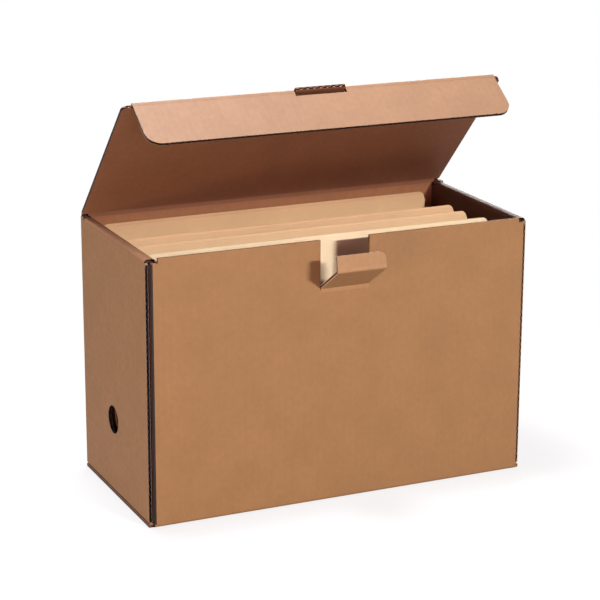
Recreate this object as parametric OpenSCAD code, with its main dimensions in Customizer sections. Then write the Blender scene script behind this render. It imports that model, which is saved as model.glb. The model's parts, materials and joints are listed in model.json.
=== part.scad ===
// Portable file box folded from one die-cut blank of corrugated board.
// Origin: on the underside, midway between the long walls' ends. X runs along the length,
// the front wall faces -Y, Z is up.
// The lid, its tuck flap and the front lock flap are drawn open, each turned about its own crease.

/* [Box] */
// outside length of the box, left end to right end
box_length = 373; // [320:1:400]
// outside depth of the box, front face to back face
box_depth = 174; // [150:1:200]
// height of the front wall's top edge above the ground
box_height = 245; // [225:5:280]

/* [Corrugated board] */
// thickness of the board
board = 3; // [2.6:0.1:3.4]
// distance from one flute to the next
flute_pitch = 6.4; // [6:0.2:8]
// thickness of each outer liner
liner = 0.4; // [0.3:0.05:0.5]
// thickness of the fluted paper between the liners
web = 0.4; // [0.3:0.05:0.5]
// running clearance at every crease and cut that moves
crease_gap = 0.3; // [0.2:0.05:0.4]

/* [Lid] */
// angle by which the lid stands open
lid_open = 46; // [30:1:60]
// overhang left between the lid's side edge and the end wall's face
lid_inset = 0.5; // [0.5:0.5:3]
// clearance between the closed tuck flap's fold and the front wall
lid_play = 1; // [1:0.1:2]
// radius of the lid's front corners
lid_corner = 5; // [3:0.5:8]
// length of the tuck flap beyond its fold
tuck_length = 48; // [38:1:52]
// angle by which the tuck flap is folded down from the lid
tuck_fold = 81; // [75:1:95]
// distance the tuck flap's side edges lie inside the lid's
tuck_inset = 8.5; // [7:0.5:16]
// radius of the tuck flap's free corners
tuck_corner = 14; // [8:1:20]

/* [Lock] */
// width of the lock flap
lock_width = 47; // [36:1:70]
// height of the lock flap, from its crease to the front wall's top edge
lock_height = 43.5; // [38:0.5:60]
// angle by which the lock flap leans out of the front wall
lock_open = 57; // [30:1:75]
// length of the lock flap's folded tip
tip_length = 14; // [11:1:16]
// angle by which the tip is folded back from the lock flap
tip_fold = 67; // [60:1:85]
// radius of the tip's rounded corner, at its right end
tip_corner = 6; // [3:0.5:8]
// radius of its nearly square corner, at its left end
tip_left_corner = 1; // [0.5:0.5:6]
// side clearance of the lock flap in its cut-out
lock_play = 0.5; // [0.4:0.1:1]
// distance the lid's tongue reaches past the lock flap on each side
tongue_margin = 1; // [0.5:0.25:3]
// distance the closed tongue's end lies inside the front wall's face
tongue_inset = 0.8; // [0:0.1:1.5]
// radius of the tongue's free corners
tongue_corner = 1; // [0.5:0.25:3]
// clearance of the tongue and of the lock tip in the tuck flap's slot
slot_play = 0.5; // [0.5:0.1:1.5]

/* [End walls] */
// distance the outer end panel is set back from the front and back faces
end_setback = 3.5; // [3:0.5:6]
// gap by which the left outer end panel stands off its corner flaps
left_end_play = 1.4; // [0:0.2:3]
// gap by which the right outer end panel stands off its corner flaps
right_end_play = 0; // [0:0.2:3]
// distance the rolled rim is set back from the front face
rim_front_setback = 5; // [4:0.5:20]
// distance the rolled rim is set back from the back face
rim_back_setback = 11; // [8:0.5:20]
// drop of the rolled rim below the front wall's top edge
rim_drop = 1.2; // [0.6:0.2:2]
// diameter of the finger hole in the left end
hole_diameter = 26; // [18:1:32]
// height of the finger hole's centre above the ground
hole_height = 72; // [50:1:120]
// distance of the finger hole's centre behind the middle of the end
hole_offset = 5.5; // [0:0.5:10]
// length of each corner flap behind the front wall and before the back wall
flap_length = 56; // [40:1:58]
// width of each tab that locks an inner end panel into the base
tab_width = 30; // [20:1:40]
// distance between the centres of an inner end panel's two tabs
tab_spacing = 88; // [60:1:100]
// clearance of a tab in its slot
tab_play = 0.3; // [0.2:0.05:0.5]
// height of the score line along the foot of each outer end panel
score_height = 1.6; // [0.8:0.1:2]
// depth of that score line
score_depth = 1.2; // [0.5:0.1:1.5]
// height of the notch at the long walls' top corners
notch_height = 4.5; // [3:0.5:6]
// length of that notch along the wall
notch_length = 6.3; // [4:0.1:8]

/* [Folders] */
// gap left between the folders and the right end wall
folder_end_gap = 14; // [8:0.5:40]
// drop of the folders' top edges below the front wall's top edge
folder_drop = 8; // [6:0.5:30]
// drop of a folder's front leaf below its rear leaf
folder_step = 2; // [1:0.5:5]
// thickness of a folder's leaf
folder_leaf = 0.8; // [0.6:0.1:1.2]
// thickness of a closed folder with the sheets it holds
folder_width = 2.4; // [2.2:0.2:5]
// radius of a folder's top corners
folder_corner = 6; // [5:0.5:15]

/* [Hidden] */
$fn = 48;
// small length by which a cut runs past the faces it goes through
past = 1;
half_board = board / 2;
half_depth = box_depth / 2;
// inside faces of the front and back walls
inner_half_depth = half_depth - board;
// the three thicknesses of an end wall, counted from the outside
end_layers = 3;
wall_half_length = (box_length - left_end_play - right_end_play) / 2 - board;
crease_half_length = wall_half_length - board;
inner_half_length = wall_half_length - (end_layers - 1) * board;
// the lid's crease runs just above the back wall, in the middle of its thickness
hinge_y = half_depth - half_board;
hinge_z = box_height + crease_gap + half_board;
lid_half_width = wall_half_length + board - lid_inset;
// distance from the lid's crease to the tuck flap's fold
lid_reach = hinge_y + inner_half_depth - lid_play - half_board;
tongue_reach = hinge_y + half_depth - tongue_inset;
tuck_half_width = lid_half_width - tuck_inset;
// a sheet stops short of a fold so that the next one can turn past a right angle
turn_allowance = 0.4;
fold_relief = half_board + crease_gap + turn_allowance;
// the tongue is what is cut from the tuck flap's slot
tongue_half_width = lock_width / 2 + tongue_margin;
slot_half_width = tongue_half_width + slot_play;
// the lock flap's crease and its tip's fold
lock_y = -half_depth + half_board;
lock_z = box_height - lock_height;
lock_reach = lock_height - half_board;
// the slot reaches down past the closed lock tip, though the tuck flap leans in when it is shut
tuck_lean = 18;
tip_underside = hinge_z - lock_z - lock_reach + half_board;
slot_depth = tip_underside / cos(tuck_lean) + half_board * tan(tuck_lean) + slot_play;
// heights of the end panels and of the rolled rim over them
rim_z = box_height - rim_drop;
panel_top = rim_z - board;
outer_half_depth = half_depth - end_setback;
rim_front = rim_front_setback - half_depth;
rim_back = half_depth - rim_back_setback;
// ears stand up behind the rolled rim, just under the closed lid
ear_top = box_height - crease_gap;
end_play = 0.5;
flap_drop = 2;
// places of the folders, as shares of the clear depth counted from the back wall
folder_places = [0.07, 0.425, 0.58, 0.76];
// distance by which each folder has slid away from the left end wall
folder_slides = [0, 0, 0, 6];
folder_side_gap = 0.5;
folder_length = 2 * inner_half_length - folder_side_gap - folder_end_gap;
folder_height = box_height - folder_drop - board;

kraft = [0.66, 0.48, 0.31];
kraft_inside = [0.60, 0.43, 0.28];
manila = [0.90, 0.76, 0.58];

// ---- corrugated board -------------------------------------------------------------

// height of the fluted paper's middle line at a place along the board
function flute_wave(x) = half_board + (half_board - liner - web / 2) * cos(360 * x / flute_pitch);

// one flute's void, under the upper liner (side 1) or over the lower one (side -1)
module flute_void(side) {
    half_void = flute_pitch / 2 - web;
    steps = 3;
    floor_points = [
        for (i = [0 : steps])
            let (x = half_void * (2 * i / steps - 1))
            [x, min(flute_wave(flute_pitch / 2 + x) + web / 2, board - liner - web / 4)]
    ];
    outline = concat([[half_void, board - liner], [-half_void, board - liner]], floor_points);
    if (side > 0) polygon(outline);
    else translate([0, board]) mirror([0, 1]) polygon(outline);
}

// the board seen end-on to its flutes, centred on its middle plane
module board_section(width) {
    waves = floor((width - flute_pitch / 2) / flute_pitch);
    first = -waves * flute_pitch / 2;
    translate([0, -half_board])
        difference() {
            translate([-width / 2, 0]) square([width, board]);
            for (i = [0 : waves]) {
                translate([first + i * flute_pitch, 0]) flute_void(-1);
            }
            for (i = [1 : waves]) {
                translate([first + (i - 0.5) * flute_pitch, 0]) flute_void(1);
            }
        }
}

// a sheet standing on its cut edge with its flutes upright
module upright_board(width, height) {
    linear_extrude(height = height) board_section(width);
}

// a sheet lying flat with its flutes running towards -Y
module flat_board(width, reach) {
    rotate([90, 0, 0]) upright_board(width, reach);
}

// the rounded bead of a crease, running along X
module crease_bead(width) {
    rotate([0, 90, 0]) cylinder(r = half_board, h = width, center = true);
}

// a quarter of a round crease as thick as the board, running up Z
module corner_crease(height) {
    intersection() {
        cylinder(r = board, h = height);
        translate([0, -board, 0]) cube([board, board, height]);
    }
}

// half of a flap's outline from its fold at y 0 to its free edge, with a round free corner
module half_flap_outline(half_width, reach, corner) {
    translate([0, corner - reach]) square([half_width, reach - corner]);
    translate([0, -reach]) square([half_width - corner, corner]);
    translate([half_width - corner, corner - reach]) circle(r = corner);
}

module flap_outline(half_width, reach, corner) {
    half_flap_outline(half_width, reach, corner);
    mirror([1, 0]) half_flap_outline(half_width, reach, corner);
}

// a plate of that outline, thicker than the board, that trims a sheet to it
module flap_trim(half_width, reach, corner) {
    translate([0, 0, -board])
        linear_extrude(height = 2 * board) flap_outline(half_width, reach, corner);
}

// ---- walls and base ---------------------------------------------------------------

// a long wall at the front: its sheet, upright creases at both ends and one at its foot
module long_wall() {
    difference() {
        translate([0, -half_depth + half_board, board])
            upright_board(2 * crease_half_length, box_height - board);
        for (side = [0, 1]) {
            mirror([side, 0, 0])
                translate([wall_half_length - notch_length, -half_depth - past, box_height - notch_height])
                    cube([notch_length, board + 2 * past, notch_height + past]);
        }
    }
    for (side = [0, 1]) {
        mirror([side, 0, 0])
            translate([crease_half_length, -inner_half_depth, board])
                corner_crease(box_height - board - notch_height);
    }
    translate([-wall_half_length, -inner_half_depth, board])
        rotate([0, 90, 0])
            corner_crease(2 * wall_half_length);
}

module front_wall() {
    cut_bottom = lock_z - half_board - crease_gap;
    color(kraft)
        difference() {
            long_wall();
            translate([-lock_width / 2 - lock_play, -half_depth - past, cut_bottom])
                cube([lock_width + 2 * lock_play, board + 2 * past, lock_height + board + past]);
        }
}

module back_wall() {
    color(kraft) mirror([0, 1, 0]) long_wall();
}

// centre planes of an end wall's layers: 0 is the outer panel, 2 the inner one
function layer_x(layer) = wall_half_length + (0.5 - layer) * board;

module base_panel() {
    color(kraft)
        difference() {
            translate([(right_end_play - left_end_play) / 2, inner_half_depth, half_board])
                flat_board(box_length, 2 * inner_half_depth);
            for (side = [-1, 1], tab = [-1, 1]) {
                translate([side * layer_x(2), tab * tab_spacing / 2, half_board])
                    cube([board + 2 * tab_play, tab_width + 2 * tab_play, board + 2 * past], center = true);
            }
        }
}

// the hole for a finger, cut through any layer of the left end wall
module finger_hole() {
    translate([-wall_half_length - board - left_end_play - past, hole_offset, hole_height])
        rotate([0, 90, 0])
            cylinder(d = hole_diameter, h = (end_layers + 1) * board + left_end_play + 2 * past);
}

// an end panel with its flutes running from front to back, standing on the base
module end_sheet(layer, half_width) {
    translate([layer_x(layer), half_width, (board + panel_top) / 2])
        rotate([0, 90, 0])
            flat_board(panel_top - board, 2 * half_width);
}

// the outer panel, with a crushed ear that stands up behind the rolled rim
module end_outer_panel(play) {
    ear_foot = rim_back + crease_gap;
    translate([play, 0, 0]) {
        difference() {
            end_sheet(0, outer_half_depth);
            translate([wall_half_length + board - score_depth, -half_depth, board - past])
                cube([board, box_depth, score_height + past]);
        }
        // the score crushes the flutes beside it
        translate([wall_half_length, -outer_half_depth, board])
            cube([board - score_depth, 2 * outer_half_depth, score_height + web]);
        translate([wall_half_length, ear_foot, panel_top - half_board])
            cube([board, outer_half_depth - ear_foot, ear_top - panel_top + half_board]);
    }
}

module left_end_outer_panel() {
    color(kraft)
        difference() {
            mirror([1, 0, 0]) end_outer_panel(left_end_play);
            finger_hole();
        }
}

module right_end_outer_panel() {
    color(kraft) end_outer_panel(right_end_play);
}

// the inner panel, rolled over the rim, with two tabs that lock into the base
module end_inner_panel() {
    end_sheet(2, inner_half_depth - end_play);
    for (tab = [-1, 1]) {
        translate([layer_x(2) - half_board, tab * tab_spacing / 2 - tab_width / 2, crease_gap])
            cube([board, tab_width, board - crease_gap]);
    }
}

module left_end_inner_panel() {
    color(kraft_inside)
        difference() {
            mirror([1, 0, 0]) end_inner_panel();
            finger_hole();
        }
}

module right_end_inner_panel() {
    color(kraft_inside) end_inner_panel();
}

// the strip between the two folds of the roll-over, seen end-on, with both folds rounded
module rim_outline(width) {
    intersection() {
        translate([-width / 2, 0]) square([width, board]);
        union() {
            translate([-width / 2 + board, 0]) square([width - 2 * board, board]);
            for (side = [-1, 1]) {
                translate([side * (width / 2 - board), 0]) circle(r = board);
            }
        }
    }
}

// the open channel that runs through the strip
module rim_channel(width) {
    radius = half_board - liner;
    straight = width - 2 * board + radius;
    translate([0, half_board]) {
        square([straight, 2 * radius], center = true);
        for (side = [-1, 1]) {
            translate([side * straight / 2, 0]) circle(r = radius);
        }
    }
}

module end_rim(play) {
    width = end_layers * board + play;
    translate([inner_half_length + width / 2, rim_back, panel_top])
        rotate([90, 0, 0])
            linear_extrude(height = rim_back - rim_front)
                difference() {
                    rim_outline(width);
                    rim_channel(width);
                }
}

module left_end_rim() {
    color(kraft) mirror([1, 0, 0]) end_rim(left_end_play);
}

module right_end_rim() {
    color(kraft) end_rim(right_end_play);
}

// a flap that turns in from a long wall between the two end panels
module corner_flap(top) {
    translate([layer_x(1), -inner_half_depth + flap_length / 2, board + crease_gap])
        rotate([0, 0, 90])
            upright_board(flap_length, top - board - crease_gap);
}

module front_right_corner_flap() {
    color(kraft) corner_flap(panel_top - flap_drop);
}

module front_left_corner_flap() {
    color(kraft) mirror([1, 0, 0]) corner_flap(panel_top - flap_drop);
}

// the back flap has a shoulder that stands up beside the rolled rim
module back_corner_flap() {
    shoulder = rim_back_setback - board - crease_gap;
    mirror([0, 1, 0])
        difference() {
            corner_flap(ear_top);
            translate([inner_half_length, -inner_half_depth + shoulder, panel_top - crease_gap])
                cube([end_layers * board, flap_length, notch_height + board]);
        }
}

module back_right_corner_flap() {
    color(kraft) back_corner_flap();
}

module back_left_corner_flap() {
    color(kraft) mirror([1, 0, 0]) back_corner_flap();
}

// ---- lid --------------------------------------------------------------------------

// places what follows on the lid's crease, turned open
module on_lid() {
    translate([0, hinge_y, hinge_z]) rotate([-lid_open, 0, 0]) children();
}

module lid_panel() {
    color(kraft)
        on_lid() {
            crease_bead(2 * lid_half_width);
            intersection() {
                flat_board(2 * lid_half_width, tongue_reach);
                union() {
                    flap_trim(lid_half_width, lid_reach - fold_relief, lid_corner);
                    flap_trim(tongue_half_width, tongue_reach, tongue_corner);
                }
            }
        }
}

module tuck_flap() {
    color(kraft)
        on_lid()
            translate([0, -lid_reach, 0])
                rotate([tuck_fold, 0, 0])
                    difference() {
                        union() {
                            crease_bead(2 * tuck_half_width);
                            intersection() {
                                flat_board(2 * tuck_half_width, tuck_length);
                                flap_trim(tuck_half_width, tuck_length, tuck_corner);
                            }
                        }
                        translate([-slot_half_width, -slot_depth, -board])
                            cube([2 * slot_half_width, slot_depth + board, 2 * board]);
                    }
}

// ---- lock flap --------------------------------------------------------------------

// places what follows on the lock flap's crease, leaning out of the front wall
module on_lock() {
    translate([0, lock_y, lock_z]) rotate([lock_open, 0, 0]) children();
}

module lock_flap() {
    color(kraft)
        on_lock() {
            crease_bead(lock_width);
            upright_board(lock_width, lock_reach - fold_relief);
        }
}

// a plate that rounds the tip's right corner and leaves its left one nearly square
module tip_trim() {
    translate([0, 0, -board])
        linear_extrude(height = 2 * board) {
            half_flap_outline(lock_width / 2, tip_length, tip_corner);
            mirror([1, 0]) half_flap_outline(lock_width / 2, tip_length, tip_left_corner);
        }
}

module lock_tip() {
    color(kraft)
        on_lock()
            translate([0, 0, lock_reach])
                rotate([-tip_fold, 0, 0]) {
                    crease_bead(lock_width);
                    rotate([-90, 0, 0])
                        intersection() {
                            flat_board(lock_width, tip_length);
                            tip_trim();
                        }
                }
}

// ---- folders ----------------------------------------------------------------------

// a closed folder on edge, its front leaf a little lower than its rear leaf
module folder_section() {
    square([folder_leaf, folder_height - folder_step]);
    translate([folder_leaf, 0]) square([folder_width - folder_leaf, folder_height]);
}

// the folders stand near the left end wall, one behind the other
module folder(index) {
    clear_depth = 2 * inner_half_depth;
    place_y = inner_half_depth - folder_places[index] * clear_depth;
    place_x = -inner_half_length + folder_side_gap + folder_slides[index];
    color(manila)
        translate([place_x, place_y - folder_width / 2, board])
            intersection() {
                rotate([90, 0, 90]) linear_extrude(height = folder_length) folder_section();
                translate([folder_length / 2, -past, 0])
                    rotate([-90, 0, 0])
                        linear_extrude(height = folder_width + 2 * past)
                            flap_outline(folder_length / 2, folder_height, folder_corner);
            }
}

module rear_folder() {
    folder(0);
}

module second_folder() {
    folder(1);
}

module third_folder() {
    folder(2);
}

module front_folder() {
    folder(3);
}

base_panel();
front_wall();
back_wall();
left_end_outer_panel();
right_end_outer_panel();
left_end_rim();
right_end_rim();
left_end_inner_panel();
right_end_inner_panel();
front_left_corner_flap();
front_right_corner_flap();
back_left_corner_flap();
back_right_corner_flap();
lid_panel();
tuck_flap();
lock_flap();
lock_tip();
rear_folder();
second_folder();
third_folder();
front_folder();
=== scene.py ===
import json
import math

import bmesh
import bpy
from mathutils import Matrix, Vector


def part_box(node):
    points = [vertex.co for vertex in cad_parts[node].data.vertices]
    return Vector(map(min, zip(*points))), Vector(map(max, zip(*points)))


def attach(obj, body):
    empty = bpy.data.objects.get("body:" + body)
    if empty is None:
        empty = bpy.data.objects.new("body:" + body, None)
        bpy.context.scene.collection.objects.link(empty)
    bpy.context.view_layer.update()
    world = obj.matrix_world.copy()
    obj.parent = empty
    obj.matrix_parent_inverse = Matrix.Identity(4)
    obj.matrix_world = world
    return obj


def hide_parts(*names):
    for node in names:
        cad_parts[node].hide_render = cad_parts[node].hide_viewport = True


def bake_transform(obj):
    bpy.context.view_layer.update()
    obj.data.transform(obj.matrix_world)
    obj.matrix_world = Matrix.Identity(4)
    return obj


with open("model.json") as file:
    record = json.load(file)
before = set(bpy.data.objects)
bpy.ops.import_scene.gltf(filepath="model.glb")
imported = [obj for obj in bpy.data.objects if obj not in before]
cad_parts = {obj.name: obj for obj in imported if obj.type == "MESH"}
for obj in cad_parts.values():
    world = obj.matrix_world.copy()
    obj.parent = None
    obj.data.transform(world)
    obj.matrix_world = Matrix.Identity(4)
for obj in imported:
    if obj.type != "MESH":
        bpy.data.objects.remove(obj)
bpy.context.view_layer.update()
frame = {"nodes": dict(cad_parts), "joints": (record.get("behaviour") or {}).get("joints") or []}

MM = 0.001

# ---- sizes that repeat the CAD model's, in metres ---------------------------------
BOARD = 3.0 * MM
HALF = BOARD / 2
PITCH = 6.4 * MM
DEPTH = 174 * MM
HEIGHT = 245 * MM
# half lengths of the long walls, to their ends and to their end creases
WALL_HALF = 182.8 * MM
CREASE_HALF = WALL_HALF - BOARD
# gap between the left outer end panel and the corner flaps behind it
LEFT_PLAY = 1.4 * MM
# heights of the end panels' score line, of their fold under the rim and of a flute between
SCORE_TOP = 4.6 * MM
RIM_FOOT = 240.4 * MM
FLUTE_MIDDLE = 121.9 * MM
# just past half the width of the front wall's cut-out
CUT_HALF = 25 * MM
HOLE_RADIUS = 13 * MM
HOLE_AT = (5.5 * MM, 72 * MM)
TUCK_FOLD = math.radians(81)
TIP_FOLD = math.radians(67)
FOLDER_LEAF = 0.8 * MM
FOLDER_STEP = 2.0 * MM
FOLDER_CORNER = 6.0 * MM
# left ends of the cards, as photographed
FOLDER_START = -171.0 * MM

# ---- creases that move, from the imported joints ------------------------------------
hinges = {joint["name"]: Vector(joint["pos_m"]) for joint in frame["joints"]}
LID_AT = hinges["lid_hinge"]
TUCK_AT = hinges["tuck_flap_fold"]
LOCK_AT = hinges["lock_flap_fold"]
TIP_AT = hinges["lock_tip_fold"]
LID_OPEN = math.atan2(TUCK_AT.z - LID_AT.z, LID_AT.y - TUCK_AT.y)
LOCK_OPEN = math.atan2(LOCK_AT.y - TIP_AT.y, TIP_AT.z - LOCK_AT.z)


def rot_x(angle):
    """Turn about the length, positive from +Y towards +Z."""
    return Matrix.Rotation(angle, 3, "X")


# frames of the sheets: columns are across the flutes, along the flutes and through the board
UPRIGHT = Matrix(((1, 0, 0), (0, 0, -1), (0, 1, 0)))
FLAT = Matrix.Identity(3)
END = Matrix(((0, 0, -1), (0, 1, 0), (1, 0, 0)))
ASIDE = Matrix(((0, 0, 1), (1, 0, 0), (0, 1, 0)))
LID = rot_x(-LID_OPEN)
TUCK = rot_x(TUCK_FOLD - LID_OPEN)
LOCK = rot_x(LOCK_OPEN) @ UPRIGHT
TIP = rot_x(LOCK_OPEN - TIP_FOLD) @ UPRIGHT


# ---- node helpers -----------------------------------------------------------------
def srgb(colour, r=1.0, g=None, b=None):
    """Linear colour of an sRGB triple in 0..255, each channel times its own factor."""
    g = r if g is None else g
    b = g if b is None else b

    def lin(c):
        c = min(c, 255) / 255
        return c / 12.92 if c <= 0.04045 else ((c + 0.055) / 1.055) ** 2.4
    return (lin(colour[0] * r), lin(colour[1] * g), lin(colour[2] * b), 1)


class Graph:
    """Adds nodes to one node tree and wires their inputs."""

    def __init__(self, tree):
        self.tree = tree
        tree.nodes.clear()

    def node(self, kind, inputs=None, **settings):
        n = self.tree.nodes.new(kind)
        for key, value in settings.items():
            setattr(n, key, value)
        for key, value in (inputs or {}).items():
            if isinstance(value, bpy.types.NodeSocket):
                self.tree.links.new(value, n.inputs[key])
            else:
                n.inputs[key].default_value = value
        return n

    def maths(self, operation, a, b=0.0, c=0.0):
        return self.node("ShaderNodeMath", {0: a, 1: b, 2: c}, operation=operation).outputs[0]

    def times(self, a, b):
        return self.maths("MULTIPLY", a, b)

    def under(self, a, b):
        return self.maths("LESS_THAN", a, b)

    def over(self, a, b):
        return self.maths("GREATER_THAN", a, b)

    def size(self, a):
        return self.maths("ABSOLUTE", a)

    def vector(self, operation, a, b=(0, 0, 0), out=0):
        return self.node("ShaderNodeVectorMath", {0: a, 1: b}, operation=operation).outputs[out]

    def dot(self, a, b):
        return self.vector("DOT_PRODUCT", a, b, 1)

    def split(self, vector):
        return self.node("ShaderNodeSeparateXYZ", {0: vector}).outputs

    def total(self, *terms):
        value = terms[0]
        for term in terms[1:]:
            value = self.maths("ADD", value, term)
        return value

    def greatest(self, *terms):
        value = terms[0]
        for term in terms[1:]:
            value = self.maths("MAXIMUM", value, term)
        return value

    def mix(self, factor, a, b):
        return self.node("ShaderNodeMix", {0: factor, 6: a, 7: b}, data_type="RGBA").outputs[2]

    def ramp(self, value, low, high, to_low=0.0, to_high=1.0):
        limits = {0: value, 1: low, 2: high, 3: to_low, 4: to_high}
        return self.node("ShaderNodeMapRange", limits).outputs[0]

    def noise(self, vector, scale, detail=3.0, rough=0.55):
        return self.node("ShaderNodeTexNoise", {
            "Vector": vector, "Scale": scale, "Detail": detail, "Roughness": rough}).outputs["Fac"]

    def stretch(self, vector, scale, angle=0.0):
        return self.node("ShaderNodeMapping", {
            "Vector": vector, "Rotation": (0, 0, angle), "Scale": scale}).outputs[0]

    def bump(self, strength, distance, height):
        return self.node("ShaderNodeBump", {
            "Strength": strength, "Distance": distance, "Height": height}).outputs[0]

    def surface(self, colour, normal, specular, roughness):
        shader = self.node("ShaderNodeBsdfPrincipled", {
            "Base Color": colour, "Normal": normal,
            "Roughness": roughness, "Specular IOR Level": specular})
        self.finish(shader)

    def finish(self, shader):
        self.node("ShaderNodeOutputMaterial", {"Surface": shader.outputs[0]})


def new_material(name):
    """An empty material and the graph to fill it with."""
    mat = bpy.data.materials.new(name)
    mat.use_nodes = True
    return mat, Graph(mat.node_tree)


# ---- kraft board ------------------------------------------------------------------
OUTER_LINER = (156, 115, 75)
INNER_LINER = (167, 118, 88)
# lighter copy of the outer liner for the lid and tuck flap: painted light and sheen
LIT_LID_LINER = (182, 140, 102)
LOCK_LINER = (168, 126, 86)
# lighter copy of the inner liner for the back wall's inside: painted light
LIT_BACK_LINER = (182, 124, 83)
# darker copy of the outer liner for the left rim: painted shade
SHADED_RIM_LINER = (149, 107, 75)
SHADED_LINER = (108, 76, 62)
DEEP_SHADE = (26, 20, 23)
# colours of a cut edge: the fluted paper, the liners and the voids between them; the voids' colour is
# painted shade
EDGE = ((94, 64, 48), (150, 116, 90), (50, 32, 26))
PALE_EDGE = ((160, 116, 82), (172, 128, 92), (118, 84, 60))
# cut edges of the inner panels and of the corner flap in the gap, darkened as painted shade
SHADED_EDGE = ((58, 40, 36), (104, 80, 66), (28, 21, 23))
# the lock's cut edges: near-white liners as a painted highlight, and voids painted dark as shade
LOCK_EDGE_LIT_AND_SHADED = ((70, 50, 42), (236, 208, 184), (24, 18, 20))
# the lid's cut edges: the fluted paper made pale as painted light
LIT_LID_EDGE = ((214, 166, 128), (108, 72, 56), (30, 20, 20))
# the left outer end panel's cut edge, made near-black as painted shade
SHADED_STRIP_EDGE = ((30, 24, 27), (92, 80, 80), (24, 19, 22))

LINER = 0.4 * MM
# width of the lock edge's bright liner line, the painted highlight
LOCK_EDGE_HIGHLIGHT_WIDTH = 0.7 * MM
# how far a test reaches past the face that it looks for
SLACK = 0.1 * MM
# how near a fold counts as that fold
FOLD_REACH = 1 * MM
# least share of a normal along an axis for a face that looks along it
FACING = 0.7
# greatest x of a normal that looks into the gap at the front wall's left end, where shade is painted
GAP_FACING = -0.45
# half thickness of the board without its liners, where the cut-out's sides are painted dark as shade
CORE_HALF = HALF - 0.6 * MM
# where creases are rubbed: a line this far inside the wall's ends and foot, fading over this width
RUB_INSET = 0.9 * MM
RUB_FADE = (0.2 * MM, 1.6 * MM)
RUB_STRENGTH = 0.30


def test(g, axes, axis, side, limit):
    """1 where a sheet coordinate is under or over a limit, beyond it on either side, or near it."""
    if side == "near":
        return g.under(g.size(g.maths("SUBTRACT", axes[axis], limit)), FOLD_REACH)
    if side == "under":
        return g.under(axes[axis], limit)
    return g.over(g.size(axes[axis]) if side == "beyond" else axes[axis], limit)


def liner_paper(g, place, axes, outside, inner, outer):
    """Colour and height of the liner: clouds, mottling, two sets of fibres, flecks and washboard."""
    clouds = g.noise(place, 26, 3, 0.5)
    mottling = g.noise(place, 170, 4, 0.62)
    fibre_a = g.noise(g.stretch(place, (1, 0.16, 1), 0.35), 1500, 2, 0.6)
    fibre_b = g.noise(g.stretch(place, (1, 0.16, 1), -0.6), 1300, 2, 0.6)
    flecks = g.noise(g.stretch(place, (1, 0.22, 1), 1.1), 620, 1, 0.5)
    wave = g.maths("COSINE", g.times(axes[0], 2 * math.pi / PITCH))
    drift = g.times(wave, g.ramp(clouds, 0.35, 0.7, 0.4, 1.0))
    side = g.ramp(axes[2], -outside * SLACK, outside * SLACK)

    def shade(*factors):
        return g.mix(side, srgb(inner, *factors), srgb(outer, *factors))

    colour = g.mix(g.ramp(clouds, 0.3, 0.7), shade(0.968), shade(1.028))
    colour = g.mix(g.ramp(mottling, 0.32, 0.7, 0.0, 0.35), colour, shade(0.91, 0.88, 0.84))
    colour = g.mix(g.ramp(fibre_a, 0.55, 0.8, 0.0, 0.42), colour, shade(1.09, 1.11, 1.15))
    colour = g.mix(g.ramp(fibre_b, 0.56, 0.8, 0.0, 0.40), colour, shade(0.85, 0.81, 0.75))
    colour = g.mix(g.ramp(flecks, 0.74, 0.80, 0.0, 0.30), colour, shade(0.68, 0.62, 0.54))
    colour = g.mix(g.ramp(drift, -1, 1, 0.0, 0.05), colour, shade(0.80, 0.77, 0.72))
    height = g.total(g.times(wave, 0.35), g.times(fibre_a, 0.22),
                     g.times(fibre_b, 0.22), g.times(mottling, 0.3))
    return colour, height, mottling


def cut_edge(g, place, axes, turn, normal, colours, liner_width):
    """Colour of a cut edge: both liners end-on, and between them the fluted paper or a void painted
    dark as shade.
    """
    web_colour, liner_colour, void_shade = colours
    section = g.over(g.size(g.dot(normal, tuple(turn.col[1]))), FACING)
    torn = g.ramp(g.noise(place, 1600, 3, 0.7), 0.3, 0.75)
    web = g.mix(torn, srgb(web_colour, 0.85), srgb(web_colour, 1.12))
    liner = g.mix(torn, srgb(liner_colour, 0.82), srgb(liner_colour, 1.08))
    core = g.mix(section, srgb(void_shade), web)
    near_face = g.over(g.size(axes[2]), HALF - liner_width)
    return g.mix(near_face, core, liner)


def crease_wear(g, place, axes, creases):
    """How far the liner is rubbed pale along its creases, each an axis and a coordinate."""
    rub = g.ramp(g.noise(place, 240, 3, 0.6), 0.42, 0.62)
    worn = 0.0
    for axis, line in creases:
        away = g.size(g.maths("SUBTRACT", g.size(axes[axis]), line))
        worn = g.maths("MAXIMUM", worn, g.ramp(away, *RUB_FADE, 1.0, 0.0))
    return g.times(g.times(worn, rub), RUB_STRENGTH)


# ---- places painted with deep shade: each tells where from the place and the normal ---
def rim_hollow_painted_shade(node):
    """Painted deep shade on a rim's ends and the inside of its channel, which looks at the rim's middle
    or down.
    """
    lo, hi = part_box(node)

    def inside(g, at, normal):
        off_middle = g.maths("SUBTRACT", g.split(at)[0], (lo.x + hi.x) / 2)
        turned = g.split(normal)
        inwards = g.under(g.times(turned[0], off_middle), -1 * MM)
        end = g.over(g.size(turned[1]), FACING)
        return g.greatest(inwards, end, g.under(turned[2], -0.5))
    return inside


def behind_notch_painted_shade(g, at, normal):
    """Painted deep shade on the hidden face of the back crease's liner, seen through the corner
    notches.
    """
    forwards = g.under(g.dot(normal, (0, 1, 0)), -0.3)
    return g.times(forwards, g.under(g.split(at)[2], HEIGHT))


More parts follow.
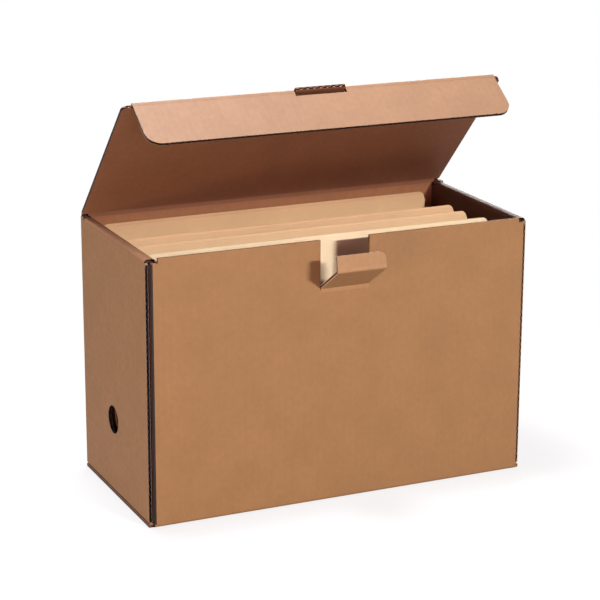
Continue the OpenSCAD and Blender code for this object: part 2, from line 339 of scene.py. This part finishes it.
def front_wall_painted_shade(g, at, normal):
    """Painted deep shade on the middle of the board at the cut-out's sides, and on the crease in the
    gap at the left end.
    """
    x, y, _ = g.split(at)
    sideways = g.split(normal)[0]
    at_cut = g.times(g.over(g.size(sideways), FACING), g.under(g.size(x), CUT_HALF))
    core = g.under(g.size(g.maths("ADD", y, wall_y)), CORE_HALF)
    in_gap = g.times(g.under(sideways, GAP_FACING), g.under(x, -CREASE_HALF))
    return g.greatest(in_gap, g.times(at_cut, core))


def finger_hole_painted_shade(g, at, normal):
    """Painted deep shade on the board inside the finger hole."""
    flat = g.vector("MULTIPLY", at, (0, 1, 1))
    return g.under(g.vector("DISTANCE", flat, (0, *HOLE_AT), 1), HOLE_RADIUS + SLACK)


def kraft(name, origin, turn, outside=1, folds=(), creases=(), all_liner=False, edges=EDGE,
          liner_width=LINER, painted_shade=None, specular=0.3, inner=INNER_LINER, outer=OUTER_LINER):
    """Corrugated board. origin and turn give the sheet's own frame, so that the washboard follows
    the flutes and the cut edges are told from the liners. folds are the rounded parts at creases."""
    mat, g = new_material(name)
    at, normal = (g.node("ShaderNodeTexCoord").outputs[key] for key in ("Object", "Normal"))
    place = g.node("ShaderNodeMapping", {
        "Vector": at, "Location": tuple(origin), "Rotation": tuple(turn.to_euler())},
        vector_type="TEXTURE").outputs[0]
    axes = g.split(place)
    colour, height, mottling = liner_paper(g, place, axes, outside, inner, outer)
    if creases:
        colour = g.mix(crease_wear(g, place, axes, creases), colour, srgb(outer, 1.16, 1.17, 1.2))
    if not all_liner:
        face = g.over(g.size(axes[2]), HALF - SLACK)
        is_liner = g.greatest(face, *[test(g, axes, *fold) for fold in folds])
        edge = cut_edge(g, place, axes, turn, normal, edges, liner_width)
        colour = g.mix(is_liner, edge, colour)
    # painted shade: the mask's places take the DEEP_SHADE colour
    if painted_shade:
        colour = g.mix(painted_shade(g, at, normal), colour, srgb(DEEP_SHADE))
    relief = g.bump(0.35, 0.12 * MM, height)
    g.surface(colour, relief, specular, g.ramp(mottling, 0.3, 0.7, 0.54, 0.62))
    return mat


def give(obj, mat):
    """Puts mat on every slot of obj, and on a slot of its own where it has none."""
    if not obj.data.materials:
        obj.data.materials.append(mat)
    for slot in obj.material_slots:
        slot.link = "OBJECT"
        slot.material = mat


# creases: sheet axis and coordinate. folds: sheet axis, side and limit, as test() takes them
wall_creases = ((0, WALL_HALF - RUB_INSET), (1, RUB_INSET))
wall_folds = ((0, "beyond", CREASE_HALF - SLACK), (1, "under", BOARD + SLACK))
end_folds = ((0, "under", SCORE_TOP + SLACK - FLUTE_MIDDLE), (0, "near", RIM_FOOT - FLUTE_MIDDLE))
bead_behind = ((1, "over", -HALF - SLACK),)
bead_below = ((1, "under", HALF + SLACK),)
# middle planes of the end walls' layers and of the long walls
outer_x = WALL_HALF + HALF
flap_x = WALL_HALF - HALF
inner_x = WALL_HALF - BOARD - HALF
wall_y = DEPTH / 2 - HALF

long_wall = dict(turn=UPRIGHT, folds=wall_folds, creases=wall_creases, edges=PALE_EDGE)
inner_panel = dict(turn=END, edges=SHADED_EDGE, outer=SHADED_LINER, specular=0.1)
lock_piece = dict(folds=bead_below, edges=LOCK_EDGE_LIT_AND_SHADED, liner_width=LOCK_EDGE_HIGHLIGHT_WIDTH, outer=LOCK_LINER)
sheets = {
    "base_panel": dict(origin=(-LEFT_PLAY / 2, 0, HALF), turn=FLAT, outside=-1),
    "front_wall": dict(long_wall, origin=(0, -wall_y, 0), painted_shade=front_wall_painted_shade),
    "back_wall": dict(long_wall, origin=(0, wall_y, 0), outside=-1, inner=LIT_BACK_LINER),
    "left_end_outer_panel": dict(origin=(-outer_x - LEFT_PLAY, 0, FLUTE_MIDDLE), turn=END,
                                 folds=end_folds, edges=SHADED_STRIP_EDGE, painted_shade=finger_hole_painted_shade),
    "right_end_outer_panel": dict(origin=(outer_x, 0, FLUTE_MIDDLE), turn=END, outside=-1,
                                  folds=end_folds, edges=PALE_EDGE),
    "left_end_inner_panel": dict(inner_panel, origin=(-inner_x, 0, FLUTE_MIDDLE), outside=-1,
                                 painted_shade=finger_hole_painted_shade),
    "right_end_inner_panel": dict(inner_panel, origin=(inner_x, 0, FLUTE_MIDDLE)),
    "front_left_corner_flap": dict(origin=(-flap_x, 0, 0), turn=ASIDE, outside=-1,
                                   edges=SHADED_EDGE, outer=SHADED_LINER),
    "front_right_corner_flap": dict(origin=(flap_x, 0, 0), turn=ASIDE),
    "back_left_corner_flap": dict(origin=(-flap_x, 0, 0), turn=ASIDE, outside=-1),
    "back_right_corner_flap": dict(origin=(flap_x, 0, 0), turn=ASIDE),
    "lid_panel": dict(origin=LID_AT, turn=LID, folds=bead_behind, edges=LIT_LID_EDGE, specular=0.1,
                      outer=LIT_LID_LINER),
    "tuck_flap": dict(origin=TUCK_AT, turn=TUCK, folds=bead_behind, specular=0.5, outer=LIT_LID_LINER),
    "lock_flap": dict(lock_piece, origin=LOCK_AT, turn=LOCK),
    "lock_tip": dict(lock_piece, origin=TIP_AT, turn=TIP),
    "left_end_rim": dict(origin=(-outer_x, 0, FLUTE_MIDDLE), turn=END, all_liner=True,
                         outer=SHADED_RIM_LINER, inner=SHADED_RIM_LINER, painted_shade=rim_hollow_painted_shade("left_end_rim")),
    "right_end_rim": dict(origin=(outer_x, 0, FLUTE_MIDDLE), turn=END, all_liner=True,
                          outer=SHADED_LINER, inner=SHADED_LINER, painted_shade=rim_hollow_painted_shade("right_end_rim")),
}
for node, sheet in sheets.items():
    give(frame["nodes"][node], kraft(node + "_board", **sheet))


# ---- mesh helpers -----------------------------------------------------------------
def link(obj):
    """Puts a new object in the scene."""
    bpy.context.scene.collection.objects.link(obj)


def add_object(name, verts, faces, sharp_from):
    """A mesh with its faces turned outwards, smooth but for edges over an angle in degrees."""
    mesh = bpy.data.meshes.new(name)
    mesh.from_pydata(verts, [], faces)
    mesh.validate()
    bm = bmesh.new()
    bm.from_mesh(mesh)
    bmesh.ops.recalc_face_normals(bm, faces=bm.faces)
    bm.to_mesh(mesh)
    bm.free()
    mesh.shade_smooth()
    mesh.set_sharp_from_angle(angle=math.radians(sharp_from))
    obj = bpy.data.objects.new(name, mesh)
    link(obj)
    return obj


def loft(sections):
    """Vertices and faces of a closed solid through sections that have the same number of points."""
    count = len(sections[0])
    verts = [point for section in sections for point in section]
    faces = []
    for s in range(len(sections) - 1):
        for i in range(count):
            j = (i + 1) % count
            faces.append((s * count + i, s * count + j, (s + 1) * count + j, (s + 1) * count + i))
    last = (len(sections) - 1) * count
    faces.append(tuple(range(count)))
    faces.append(tuple(last + i for i in range(count)))
    return verts, faces


def arc(centre, radius, start, stop, steps):
    """Points on a circle in (y, z), from one angle to another."""
    angles = [start + (stop - start) * i / steps for i in range(steps + 1)]
    return [Vector((centre[0] + radius * math.cos(a), centre[1] + radius * math.sin(a)))
            for a in angles]


# ---- creases: the liner carries on round each fold that moves ----------------------
# a skin's thickness, its play from the board, its straight run past a bend and its columns' width
SKIN = 0.2 * MM
SKIN_CLEAR = 0.03 * MM
SKIN_RUN = 2.6 * MM
SKIN_COLUMN = 8 * MM
# the lid's outer skin starts further down the back wall, and the lock's hollow this far below its axis
LID_SKIN_RUN = 7.5 * MM
LOCK_HOLLOW_FOOT = 1.9 * MM
FOLD_STEPS = 12


def skin_section(profile, x):
    """A strip of liner at one x: the profile of (y, z) points, thickened and feathered at its ends."""
    count = len(profile)
    outer = []
    for i, point in enumerate(profile):
        along = (profile[min(i + 1, count - 1)] - profile[max(i - 1, 0)]).normalized()
        feather = min(1.0, 0.1 + min(i, count - 1 - i) / 4)
        outer.append(point + Vector((-along.y, along.x)) * SKIN * feather)
    return [(x, p.x, p.y) for p in profile + outer[::-1]]


def crease_skin(name, profile, x0, x1, mat):
    """Liner paper over a fold. profile is its (y, z) path with the thickness on its left."""
    steps = max(2, round((x1 - x0) / SKIN_COLUMN))
    verts, faces = loft([skin_section(profile, x0 + (x1 - x0) * s / steps) for s in range(steps + 1)])
    obj = add_object(name, verts, faces, 50)
    give(obj, mat)
    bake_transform(obj)


def run(point, direction, length, steps=5):
    """Points from point along direction, without point itself."""
    return [point + direction * length * (i + 1) / steps for i in range(steps)]


def yz(vector):
    """The part of a vector that a skin's profile is drawn in."""
    return Vector((vector.y, vector.z))


def angle_of(vector):
    """Angle of a vector in (y, z), from +Y towards +Z."""
    return math.atan2(vector.z, vector.y)


def round_fold(name, at, before, after, start, stop, x0, x1, mat, first_run=SKIN_RUN):
    """A skin round the outside of a fold: a short run, the bend about the fold's axis, a short run."""
    bend = arc(yz(at), HALF + SKIN_CLEAR, start, stop, FOLD_STEPS)
    profile = run(bend[0], before, first_run)[::-1] + bend + run(bend[-1], after, SKIN_RUN)
    if stop > start:
        profile.reverse()
    crease_skin(name, profile, x0, x1, mat)


def hollow_fold(name, at, out, along, wall, level, x0, x1, mat):
    """A skin in the hollow of a fold: up a wall's face at y = wall from level, then along the panel
    whose face is half a board from the fold's axis on its side out."""
    face = yz(at) + out * (HALF + SKIN_CLEAR)
    corner = face + along * ((wall - face.x) / along.x)
    foot = Vector((wall, level))
    profile = run(foot, Vector((0, -1)), SKIN_RUN)[::-1] + [foot, corner] + run(corner, along, SKIN_RUN)
    crease_skin(name, profile, x0, x1, mat)


def liner_like(node, colour, painted_shade=None):
    """Liner of one colour on both sides, for a skin that bends away from its sheet's frame."""
    kept = ("origin", "turn", "outside", "specular")
    sheet = {key: value for key, value in sheets[node].items() if key in kept}
    return kraft(node + "_crease_liner", all_liner=True, inner=colour, outer=colour, painted_shade=painted_shade, **sheet)


# directions at rest: along each panel away from its fold, and out of its face
lid_along = yz(LID @ Vector((0, -1, 0)))
lid_out = LID @ Vector((0, 0, 1))
tuck_along = yz(TUCK @ Vector((0, -1, 0)))
tuck_out = TUCK @ Vector((0, 0, 1))
lock_along = yz(LOCK @ Vector((0, 1, 0)))
lock_out = LOCK @ Vector((0, 0, 1))
tip_along = yz(TIP @ Vector((0, 1, 0)))
tip_out = TIP @ Vector((0, 0, 1))

lid_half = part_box("lid_panel")[1].x
tuck_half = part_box("tuck_flap")[1].x
lock_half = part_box("lock_flap")[1].x
slot_half = lock_half + HALF
full_turn = 2 * math.pi


def lid_skins():
    """The liner outside and inside the lid's crease."""
    round_fold("lid_crease", LID_AT, Vector((0, -1)), lid_along, 0.0, angle_of(lid_out),
               -lid_half, lid_half, liner_like("back_wall", LIT_LID_LINER, behind_notch_painted_shade),
               first_run=LID_SKIN_RUN)
    hollow_fold("lid_crease_inside", LID_AT, -yz(lid_out), lid_along, DEPTH / 2 - BOARD - SKIN_CLEAR,
                HEIGHT - SKIN, -CREASE_HALF, CREASE_HALF,
                liner_like("lid_panel", INNER_LINER))


def lock_skin():
    """The liner in the hollow of the lock flap's crease."""
    hollow_fold("lock_crease", LOCK_AT, yz(lock_out), lock_along, -DEPTH / 2 - SKIN_CLEAR,
                LOCK_AT.z - LOCK_HOLLOW_FOOT, -lock_half, lock_half,
                liner_like("lock_flap", LOCK_LINER))


def tuck_skins():
    """The liner outside the tuck flap's crease, on both sides of the slot."""
    liner = liner_like("tuck_flap", LIT_LID_LINER)
    for side, x0, x1 in (("left", -tuck_half, -slot_half), ("right", slot_half, tuck_half)):
        round_fold("tuck_crease_" + side, TUCK_AT, -lid_along, tuck_along, angle_of(lid_out),
                   angle_of(tuck_out), x0, x1, liner)


def tip_skin():
    """The liner outside the lock tip's fold."""
    round_fold("lock_tip_crease", TIP_AT, -lock_along, tip_along, angle_of(lock_out) % full_turn,
               angle_of(tip_out) % full_turn, -lock_half, lock_half,
               liner_like("lock_tip", LOCK_LINER))


lid_skins()
lock_skin()
tuck_skins()
tip_skin()


# ---- folders: a bent sheet of card with papers between its leaves -----------------
PAPERS_HALF = 0.3 * MM
PAPERS_INSET = (4 * MM, 5 * MM)
PAPERS_FOOT = 3 * MM
PAPERS_DROP = 1.5 * MM
LEAF_EDGE = 0.25 * FOLDER_LEAF
RIPPLE = 0.15 * MM


def column_places(x0, x1, corner, middle_steps=22, corner_steps=7):
    """Places along a leaf, close together where its top corners are round."""
    rise = [corner * (1 - math.cos(math.pi / 2 * i / corner_steps)) for i in range(corner_steps + 1)]
    middle = [x0 + corner + (x1 - x0 - 2 * corner) * i / middle_steps for i in range(1, middle_steps)]
    return [x0 + d for d in rise] + middle + [x1 - d for d in reversed(rise)]


def top_drop(x, x0, x1, corner):
    """How far a round top corner lowers a leaf's edge at x."""
    inside = corner - min(x - x0, x1 - x, corner)
    return corner - math.sqrt(max(corner ** 2 - inside ** 2, 0))


def leaf_outline(outer, fold, front_top, rear_top, rows=8):
    """The card's closed (y, z) outline: down the front, round the fold at its foot, up the rear."""
    inner = outer - FOLDER_LEAF

    def wall(offset, top, upwards):
        levels = [fold + (top - fold) * r / rows for r in range(rows + 1)]
        return [(offset, z) for z in (levels if upwards else reversed(levels))]

    def foot(radius, steps):
        angles = [math.pi * k / 6 for k in steps]
        return [(radius * math.cos(a), fold + radius * math.sin(a)) for a in angles]

    rear_edge = [(outer - FOLDER_LEAF / 2, rear_top + LEAF_EDGE)]
    front_edge = [(FOLDER_LEAF / 2 - outer, front_top + LEAF_EDGE)]
    outside = wall(-outer, front_top, False) + foot(outer, range(7, 12))
    outside += wall(outer, rear_top, True)
    inside = wall(inner, rear_top, False) + foot(inner, range(-1, -6, -1))
    inside += wall(-inner, front_top, True)
    return outside + rear_edge + inside + front_edge


def build_folder(node, bow, waves):
    """The card and its papers as closed shells in the CAD folder's place, bowed towards their tops."""
    lo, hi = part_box(node)
    lo.x = max(lo.x, FOLDER_START)
    middle, thickness_half = (lo.y + hi.y) / 2, (hi.y - lo.y) / 2
    rear_top = hi.z - LEAF_EDGE
    front_top = rear_top - FOLDER_STEP

    def section(x, outline):
        share = (x - lo.x) / (hi.x - lo.x)
        bowed = bow * math.sin(math.pi * share) + RIPPLE * math.sin(waves * math.pi * share)
        return [(x, middle + y + bowed * ((z - lo.z) / (hi.z - lo.z)) ** 2, z) for y, z in outline]

    card = []
    for x in column_places(lo.x, hi.x, FOLDER_CORNER):
        drop = top_drop(x, lo.x, hi.x, FOLDER_CORNER)
        outline = leaf_outline(thickness_half, lo.z + thickness_half, front_top - drop, rear_top - drop)
        card.append(section(x, outline))
    foot, top = lo.z + PAPERS_FOOT, front_top - PAPERS_DROP
    stack = ((-PAPERS_HALF, foot), (PAPERS_HALF, foot), (PAPERS_HALF, top), (-PAPERS_HALF, top))
    papers = [section(x, stack) for x in
              column_places(lo.x + PAPERS_INSET[0], hi.x - PAPERS_INSET[1], 1 * MM, 16, 2)]
    verts, faces = loft(card)
    paper_verts, paper_faces = loft(papers)
    faces += [tuple(i + len(verts) for i in face) for face in paper_faces]
    obj = add_object(node + "_card", verts + paper_verts, faces, 35)
    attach(obj, "box")
    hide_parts(node)
    return obj


def manila(name, tint, seed):
    """Buff card of the folders: finer fibres than the board, with soft streaks along it."""
    mat, g = new_material(name)
    at = g.node("ShaderNodeTexCoord").outputs["Object"]
    place = g.vector("ADD", at, (seed * 0.37, seed * 0.11, seed * 0.23))
    clouds = g.noise(place, 22, 2, 0.5)
    grain = g.noise(place, 900, 3, 0.6)
    streaks = g.noise(g.stretch(place, (0.12, 1, 1)), 700, 2, 0.55)
    colour = g.mix(g.ramp(clouds, 0.3, 0.7), srgb(tint, 0.975), srgb(tint, 1.015))
    colour = g.mix(g.ramp(grain, 0.4, 0.8, 0.0, 0.25), colour, srgb(tint, 0.94, 0.89, 0.82))
    colour = g.mix(g.ramp(streaks, 0.5, 0.8, 0.0, 0.30), colour, srgb(tint, 0.95, 0.91, 0.86))
    g.surface(colour, g.bump(0.25, 0.08 * MM, grain), 0.4, 0.6)
    return mat


# each folder's card colour, lighter from the rear card to the front one as painted light, how far it
# bows and how many half waves run along it
folders = (
    ("rear_folder", (229, 187, 141), 0.5 * MM, 3),
    ("second_folder", (231, 190, 146), -0.8 * MM, 2),
    ("third_folder", (235, 197, 154), 0.6 * MM, 3),
    ("front_folder", (253, 229, 192), 0.7 * MM, 2),
)
for index, (node, tint, bow, waves) in enumerate(folders):
    give(build_folder(node, bow, waves), manila(node + "_card", tint, index + 1))


# ---- stage ------------------------------------------------------------------------
FLOOR_REACH = 6
FLOOR_Z = -0.3 * MM
# distances over which the floor turns to plain white, away from the object's shadow
SHADOW_FADE = (0.22, 0.75)
WHITE = (1, 1, 1, 1)
AMBIENT = (0.95, 0.64, 0.80, 1)
AMBIENT_STRENGTH = 0.14


def seen_directly(g):
    """1 for the rays that show the background itself, and 0 for those that carry its light."""
    rays = g.node("ShaderNodeLightPath").outputs
    return g.greatest(rays["Is Camera Ray"], rays["Is Glossy Ray"], rays["Is Transmission Ray"])


def floor_material():
    """Pale floor that shows white with the object's soft shadow, and bounces little light."""
    mat, g = new_material("studio_floor")
    seen = seen_directly(g)
    at = g.node("ShaderNodeTexCoord").outputs["Object"]
    away = g.vector("LENGTH", g.vector("MULTIPLY", at, (1, 1, 0)), out=1)
    glow = g.times(seen, g.ramp(away, *SHADOW_FADE, 0.76, 1.0))
    grain = g.noise(at, 60, 3, 0.6)
    pale = g.mix(g.ramp(grain, 0.3, 0.7), (0.955, 0.955, 0.955, 1), (0.975, 0.975, 0.975, 1))
    colour = g.mix(seen, (0.16, 0.155, 0.15, 1), pale)
    matt = g.node("ShaderNodeBsdfDiffuse", {"Color": colour})
    white = g.node("ShaderNodeEmission", {"Color": WHITE, "Strength": 1.0})
    g.finish(g.node("ShaderNodeMixShader", {0: glow, 1: matt.outputs[0], 2: white.outputs[0]}))
    return mat


def studio_floor():
    """A wide plane just under the box."""
    mesh = bpy.data.meshes.new("studio_floor")
    corners = [(x * FLOOR_REACH, y * FLOOR_REACH, 0) for x, y in ((-1, -1), (1, -1), (1, 1), (-1, 1))]
    mesh.from_pydata(corners, [], [(0, 1, 2, 3)])
    floor = bpy.data.objects.new("studio_floor", mesh)
    floor.location.z = FLOOR_Z
    link(floor)
    floor.data.materials.append(floor_material())


def studio_world():
    """White to the camera and in reflections, and a faint light otherwise."""
    world = bpy.data.worlds.new("studio")
    world.use_nodes = True
    bpy.context.scene.world = world
    g = Graph(world.node_tree)
    ambient = g.node("ShaderNodeBackground", {"Color": AMBIENT, "Strength": AMBIENT_STRENGTH})
    white = g.node("ShaderNodeBackground", {"Color": WHITE, "Strength": 1.0})
    seen = seen_directly(g)
    pick = g.node("ShaderNodeMixShader", {0: seen, 1: ambient.outputs[0], 2: white.outputs[0]})
    g.node("ShaderNodeOutputWorld", {"Surface": pick.outputs[0]})


studio_floor()
studio_world()

# ---- light ------------------------------------------------------------------------
# the key is a level strip of small shaded lamps: soft shadows from side to side, and a clear top
KEY_AT = Vector((0.79, -2.44, 1.08))
KEY_LAMPS = 5
KEY_STRIP = Vector((0.95, 0.31, 0))
KEY_SPACING = 0.075
KEY_TOP_RAY = (0.0, -0.08, 0.300)
KEY_HALF_CONE = math.radians(80)
KEY_RADIUS = 0.022
KEY_POWER = 248
KEY_COLOUR = (1.0, 0.985, 0.96)
SHADE_SOFTNESS = 0.004
# soft lamps: name, place, point aimed at, size, power and colour
SOFTBOXES = (
    ("overhead_left", (-0.16, 0.12, 1.60), (0.0, -0.05, 0.30), (0.35, 0.35), 24, (1.0, 1.0, 1.10)),
    ("low_left_fill", (-1.2, -0.45, 0.12), (-0.15, 0.0, 0.13), (1.0, 0.24), 8.2, (1.0, 0.80, 0.58)),
    ("low_front_fill", (-0.35, -1.70, 0.44), (0.0, 0.0, 0.28), (0.7, 0.24), 4.1, (1.0, 0.70, 0.85)),
    ("back_right_fill", (1.1, 1.75, 0.70), (0.0, 0.0, 0.15), (1.0, 0.6), 17, (1.0, 0.98, 0.96)),
)


def lamp(name, kind, place, towards, power, colour):
    """A lamp at a place that looks along the direction towards."""
    light = bpy.data.lights.new(name, kind)
    light.energy = power
    light.color = colour
    obj = bpy.data.objects.new(name, light)
    obj.location = place
    obj.rotation_mode = "QUATERNION"
    obj.rotation_quaternion = towards.to_track_quat("-Z", "Y")
    link(obj)
    return light


def softbox(name, place, aim, size, power, colour):
    """A rectangular lamp aimed at a point."""
    light = lamp(name, "AREA", place, Vector(aim) - Vector(place), power, colour)
    light.shape = "RECTANGLE"
    light.size, light.size_y = size


def key_lamp(name, place):
    """A lamp behind a shade, whose light ends level, on the ray from the lamp through KEY_TOP_RAY."""
    ray = (Vector(KEY_TOP_RAY) - place).normalized()
    side = (Vector((1, 0, 0)) - ray * ray.x).normalized()
    middle = Matrix.Rotation(-KEY_HALF_CONE, 3, side) @ ray
    light = lamp(name, "SPOT", place, middle, KEY_POWER / KEY_LAMPS, KEY_COLOUR)
    light.spot_size = 2 * KEY_HALF_CONE
    light.spot_blend = SHADE_SOFTNESS
    light.shadow_soft_size = KEY_RADIUS


for number in range(KEY_LAMPS):
    aside = KEY_STRIP * (number - (KEY_LAMPS - 1) / 2) * KEY_SPACING
    key_lamp("key_" + str(number + 1), KEY_AT + aside)
for settings in SOFTBOXES:
    softbox(*settings)

# ---- camera, fitted to the photograph's corners -----------------------------------
CAMERA_AT = (-0.775862, -1.687215, 0.707596)
CAMERA_YAW = math.radians(24.5857)
CAMERA_PITCH = math.radians(-16.3029)
CAMERA_ROLL = math.radians(0.2382)
CAMERA_LENS = 124.976
CAMERA_SENSOR = 36
CAMERA_NEAR = 0.05
CAMERA_FAR = 50


def camera_turn(yaw, pitch, roll):
    """Rotation of a camera that looks at a compass angle from +Y, up from level, and rolled."""
    ahead = Vector((math.sin(yaw) * math.cos(pitch), math.cos(yaw) * math.cos(pitch), math.sin(pitch)))
    level = Vector((math.cos(yaw), -math.sin(yaw), 0))
    above = level.cross(ahead)
    right = level * math.cos(roll) + above * math.sin(roll)
    up = above * math.cos(roll) - level * math.sin(roll)
    return Matrix((right, up, -ahead)).transposed()


def photo_camera():
    """The camera at the photographer's place."""
    data = bpy.data.cameras.new("photo_camera")
    data.sensor_width = CAMERA_SENSOR
    data.lens = CAMERA_LENS
    data.clip_start = CAMERA_NEAR
    data.clip_end = CAMERA_FAR
    camera = bpy.data.objects.new("photo_camera", data)
    turn = camera_turn(CAMERA_YAW, CAMERA_PITCH, CAMERA_ROLL)
    camera.matrix_world = Matrix.Translation(CAMERA_AT) @ turn.to_4x4()
    link(camera)
    return camera


bpy.context.scene.camera = photo_camera()
bpy.context.scene.view_settings.view_transform = "Standard"
